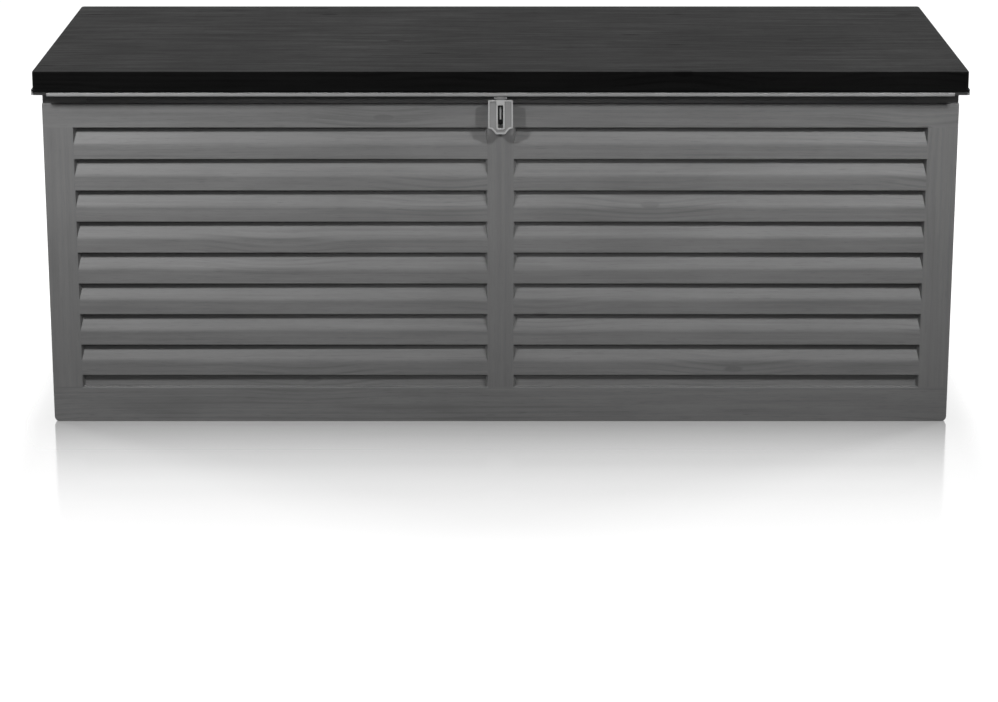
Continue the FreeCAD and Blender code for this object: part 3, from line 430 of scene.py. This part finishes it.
wears = {
    "front_panel": wallLong, "rear_panel": wallLong,
    "left_side_panel": wallShort, "right_side_panel": wallShort,
    "floor_panel": floorSatin, "lid_cover": lidMoulding, "lid_liner": rimSatin,
    "hasp": haspSatinPaintedLight, "hasp_bracket": haspSatinPaintedLight, "padlock_lug": lugSatinPaintedLight,
}
for nodeName, nodeObject in cadNodes.items():
    stayPiece = nodeName.startswith(("stay_arm", "stay_bracket"))
    finish = wears.get(nodeName, stayPaint if stayPiece else zincPlate)
    nodeObject.data.materials.clear()
    nodeObject.data.materials.append(finish)


# screws: pan heads with a cross recess and a threaded shank, in place of the plain ones

screwLook = {
    # the head's profile in shares of its radius and height, from the crown down to its seat
    "head": [(0.78, 1.0), (0.92, 0.86), (1.0, 0.5), (0.99, 0.12), (0.96, 0.0)], "headShare": 0.96,
    "crossLong": 0.42, "crossWide": 0.13, "crossLift": 1.04, "crossBed": 0.72, "crossDeep": 0.0011,
    "shank": 0.00195, "thread": 0.0009, "threadRise": 0.00025, "plainThreads": 2.2,
    "taper": 0.7, "tip": 0.0002, "around": 28, "sharpAngle": 32,
    "firstTurn": 0.6, "nextTurn": 1.9,  # the crosses stand at different angles
    "sameAcross": 0.009, "sameAlong": 0.03,  # corners so close belong to one screw
    "brim": 0.97,  # the share of the head's reach from which a corner lies on its brim
}
# the body that each set rides, and the axis its screws lie along
screwSets = {
    "corner_screws": ("box", 1), "hinge_body_screws": ("box", 1), "lug_screws": ("box", 1),
    "hinge_lid_screws": ("lid", 2), "hasp_screws": ("lid", 2), "stay_screws": ("lid", 2),
}


def screwPlaces(nodeName, axis):
    # groups the node's corners into single screws, and tells on which side each head stands
    look = screwLook
    across = [i for i in range(3) if i != axis]
    groups = []
    for vertex in cadNodes[nodeName].data.vertices:
        at = vertex.co
        for group in groups:
            near = group[0]
            beside = all(abs(at[i] - near[i]) < look["sameAcross"] for i in across)
            if beside and abs(at[axis] - near[axis]) < look["sameAlong"]:
                group.append(at.copy())
                break
        else:
            groups.append([at.copy()])
    places = []
    for group in groups:
        low = [min(p[i] for p in group) for i in range(3)]
        high = [max(p[i] for p in group) for i in range(3)]
        centre = [(a + b) / 2 for a, b in zip(low, high)]
        middle = [centre[i] for i in across]
        reach = max(high[i] - centre[i] for i in across)
        brim = [p[axis] for p in group if math.dist([p[i] for i in across], middle) > reach * look["brim"]]
        if sum(brim) / len(brim) > centre[axis]:
            outward, seat, top, tip = 1, min(brim), high[axis], low[axis]
        else:
            outward, seat, top, tip = -1, max(brim), low[axis], high[axis]
        places.append((centre, outward, seat, abs(top - seat), abs(seat - tip), reach))
    return places


def screwMesh(mesh, matrix, headRadius, headHeight, length):
    # drawn with the head's underside on the ground, the head up and the shank down
    look = screwLook
    start = len(mesh.verts)
    around, shank, thread = look["around"], look["shank"], look["thread"]
    turns = [2 * math.pi * k / around for k in range(around)]
    profile = [(headRadius * wide, headHeight * high) for wide, high in look["head"]] + [(shank, 0.0)]
    down = 0.0
    while down < length - look["plainThreads"] * thread:
        profile += [(shank, -down), (shank - look["threadRise"], -down - thread / 2)]
        down += thread
    profile += [(shank * look["taper"], -down), (look["tip"], -length)]
    rings = [[mesh.verts.new((r * math.cos(a), r * math.sin(a), z)) for a in turns] for r, z in profile]
    for upper, lower in zip(rings, rings[1:]):
        for k in range(around):
            after = (k + 1) % around
            mesh.faces.new((upper[k], lower[k], lower[after], upper[after]))
    mesh.faces.new(rings[-1])

    # the cross is one arm's corners, turned a quarter three times
    half, wide = headRadius * look["crossLong"], headRadius * look["crossWide"]
    arm = [(wide, half), (wide, wide), (half, wide)]
    outline = []
    for _ in range(4):
        outline += arm
        arm = [(y, -x) for x, y in arm]
    bedShare, bedHeight = look["crossBed"], headHeight - look["crossDeep"]
    brim = [mesh.verts.new((x, y, headHeight * look["crossLift"])) for x, y in outline]
    bed = [mesh.verts.new((x * bedShare, y * bedShare, bedHeight)) for x, y in outline]
    for k in range(len(outline)):
        after = (k + 1) % len(outline)
        mesh.faces.new((brim[k], brim[after], bed[after], bed[k]))
    mesh.faces.new(bed)
    sides = [(loop[k], loop[(k + 1) % len(loop)]) for loop in (rings[0], brim) for k in range(len(loop))]
    edges = [mesh.edges.get(side) for side in sides]
    bmesh.ops.triangle_fill(mesh, use_beauty=True, use_dissolve=False, edges=edges)
    mesh.verts.ensure_lookup_table()
    for vertex in mesh.verts[start:]:
        vertex.co = matrix @ vertex.co


def makeScrews(nodeName, body, axis):
    look = screwLook
    mesh = bmesh.new()
    for number, found in enumerate(screwPlaces(nodeName, axis)):
        centre, outward, seat, headHeight, length, headRadius = found
        direction = Vector((0, 0, 0))
        direction[axis] = outward
        at = Vector(centre)
        at[axis] = seat
        stand = direction.to_track_quat("Z", "X").to_matrix().to_4x4()
        spin = Matrix.Rotation(look["firstTurn"] + look["nextTurn"] * number, 4, "Z")
        matrix = Matrix.Translation(at) @ stand @ spin
        screwMesh(mesh, matrix, headRadius, headHeight * look["headShare"], length)
    bmesh.ops.recalc_face_normals(mesh, faces=mesh.faces)
    data = bpy.data.meshes.new(nodeName + "Turned")
    mesh.to_mesh(data)
    mesh.free()
    data.shade_smooth()
    data.set_sharp_from_angle(angle=math.radians(look["sharpAngle"]))
    data.materials.append(zincPlate)
    piece = bpy.data.objects.new(nodeName + "Turned", data)
    bpy.context.scene.collection.objects.link(piece)
    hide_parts(nodeName)
    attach(piece, body)


print("turning screws")
for setName, (setBody, setAxis) in screwSets.items():
    makeScrews(setName, setBody, setAxis)


# camera where the photographer stood: the lens and the height come from the photo's own lines

cameraLook = {
    # lens and sensor in millimetres, pitch in degrees, the rest in metres
    "lens": 111.33, "sensor": 36.0, "clip": 60.0,
    "back": 4.678, "height": 1.464, "pitch": 16.021, "side": -0.0023,
}
print("placing camera")
cameraData = bpy.data.cameras.new("photoCamera")
cameraData.lens = cameraLook["lens"]
cameraData.sensor_width = cameraLook["sensor"]
cameraData.clip_end = cameraLook["clip"]
camera = bpy.data.objects.new("photoCamera", cameraData)
camera.location = (cameraLook["side"], coverFront - cameraLook["back"], cameraLook["height"])
camera.rotation_euler = (math.radians(90 - cameraLook["pitch"]), 0, 0)
bpy.context.scene.collection.objects.link(camera)
bpy.context.scene.camera = camera


# studio: soft boxes before, beside and behind the box, a faint even light all round, a polished pale floor

softBoxes = {
    # size, place and aim in metres, then watts and the beam's spread in degrees
    "front": ((0.4, 0.3), (0, -3.9, 1.75), (0, -0.28, 0.46), 0.75, 30),
    "keyLeft": ((0.2, 0.2), (-2.0, -2.2, 2.34), (-0.06, -0.28, 0.44), 0.84, 22),
    "keyRight": ((0.2, 0.2), (2.0, -2.2, 2.34), (0.06, -0.28, 0.44), 0.84, 22),
    "endLeft": ((0.3, 0.3), (-1.0, -1.28, 1.54), (-0.74, -0.28, 0.34), 1.90, 45),
    "endRight": ((0.3, 0.3), (1.0, -1.28, 1.54), (0.74, -0.28, 0.34), 1.64, 45),
    "openLid": ((1.6, 0.3), (0, -3.2, 2.95), (0, 0.36, 1.02), 2.4, 19),
    "rearLeft": ((1.0, 1.0), (-3.2, 2.0, 2.3), (0, 0.28, 0.25), 68, 120),
    "rearRight": ((1.0, 1.0), (3.2, 2.0, 2.3), (0, 0.28, 0.25), 68, 120),
}
worldFill = 0.046


def hangSoftBox(name, size, at, aim, watts, spread):
    data = bpy.data.lights.new(name, "AREA")
    data.shape = "RECTANGLE"
    data.size, data.size_y = size
    data.spread = math.radians(spread)
    data.energy = watts
    lamp = bpy.data.objects.new(name, data)
    lamp.location = at
    lamp.rotation_euler = (Vector(aim) - Vector(at)).to_track_quat("-Z", "Y").to_euler()
    bpy.context.scene.collection.objects.link(lamp)


print("placing lamps")
for boxName, boxLook in softBoxes.items():
    hangSoftBox(boxName, *boxLook)

# the world looks white, and lights the box only faintly
world = bpy.data.worlds.new("studio")
bpy.context.scene.world = world
world.use_nodes = True
sky = world.node_tree
background = sky.nodes["Background"]
background.inputs["Color"].default_value = (1, 1, 1, 1)
rays = addNode(sky, "ShaderNodeLightPath")
seen = calc(sky, "MAXIMUM", rays.outputs["Is Camera Ray"], rays.outputs["Is Glossy Ray"])
seen = calc(sky, "MAXIMUM", seen, rays.outputs["Is Transmission Ray"])
sky.links.new(mixNumbers(sky, seen, worldFill, 1.0), background.inputs["Strength"])

floorLook = {
    "reach": 14.0, "tone": 0.20, "bounce": 0.12, "dull": 0.9, "liftNear": 0.82, "liftFar": 1.0,
    "mirror": 0.72, "fade": 0.70, "fadeBeside": 0.10, "fall": 2.2, "rough": 0.10,
}


def makeFloor():
    look = floorLook
    reach = look["reach"]
    corners = [(-reach, -reach, 0), (reach, -reach, 0), (reach, reach, 0), (-reach, reach, 0)]
    mesh = bpy.data.meshes.new("studioFloor")
    mesh.from_pydata(corners, [], [(0, 1, 2, 3)])
    floor = bpy.data.objects.new("studioFloor", mesh)
    bpy.context.scene.collection.objects.link(floor)
    material, tree, shader = startMaterial("floorWhite")
    shader.inputs["Roughness"].default_value = look["dull"]
    shader.inputs["Specular IOR Level"].default_value = 0.0
    path = addNode(tree, "ShaderNodeLightPath")
    toCamera = path.outputs["Is Camera Ray"]
    seenFloor = calc(tree, "MAXIMUM", toCamera, path.outputs["Is Glossy Ray"])
    tone, bounce = ((look[name],) * 3 + (1,) for name in ("tone", "bounce"))
    tree.links.new(mixColours(tree, seenFloor, bounce, tone), shader.inputs["Base Color"])
    # how far a point of the floor lies outside the box's foot
    x, y, _ = split(tree, surfacePoint(tree)[0])
    beside = calc(tree, "SUBTRACT", calc(tree, "ABSOLUTE", x), halfWidth)
    before = calc(tree, "ABSOLUTE", calc(tree, "SUBTRACT", y, middleY))
    before = calc(tree, "SUBTRACT", before, halfDepth)
    nearFront = remap(tree, before, 0.0, look["fade"], 1.0, 0.0)
    nearSide = remap(tree, beside, 0.0, look["fadeBeside"], 1.0, 0.0, smooth=True)
    near = calc(tree, "MULTIPLY", nearFront, nearSide)
    shader.inputs["Emission Color"].default_value = (1, 1, 1, 1)
    lift = mixNumbers(tree, near, look["liftFar"], look["liftNear"])
    tree.links.new(calc(tree, "MULTIPLY", seenFloor, lift), shader.inputs["Emission Strength"])
    # the polish shows the box close to its foot and dulls away from it
    polish = calc(tree, "MULTIPLY", calc(tree, "POWER", nearFront, look["fall"]), look["mirror"])
    polish = calc(tree, "MULTIPLY", calc(tree, "MULTIPLY", polish, nearSide), toCamera)
    mirror = addNode(tree, "ShaderNodeBsdfGlossy", {"Roughness": look["rough"]})
    both = addNode(tree, "ShaderNodeMixShader", {0: polish, 1: shader.outputs[0], 2: mirror.outputs[0]})
    tree.links.new(both.outputs[0], tree.nodes["Material Output"].inputs["Surface"])
    mesh.materials.append(material)


print("laying floor")
makeFloor()

bpy.context.scene.view_settings.view_transform = "Standard"
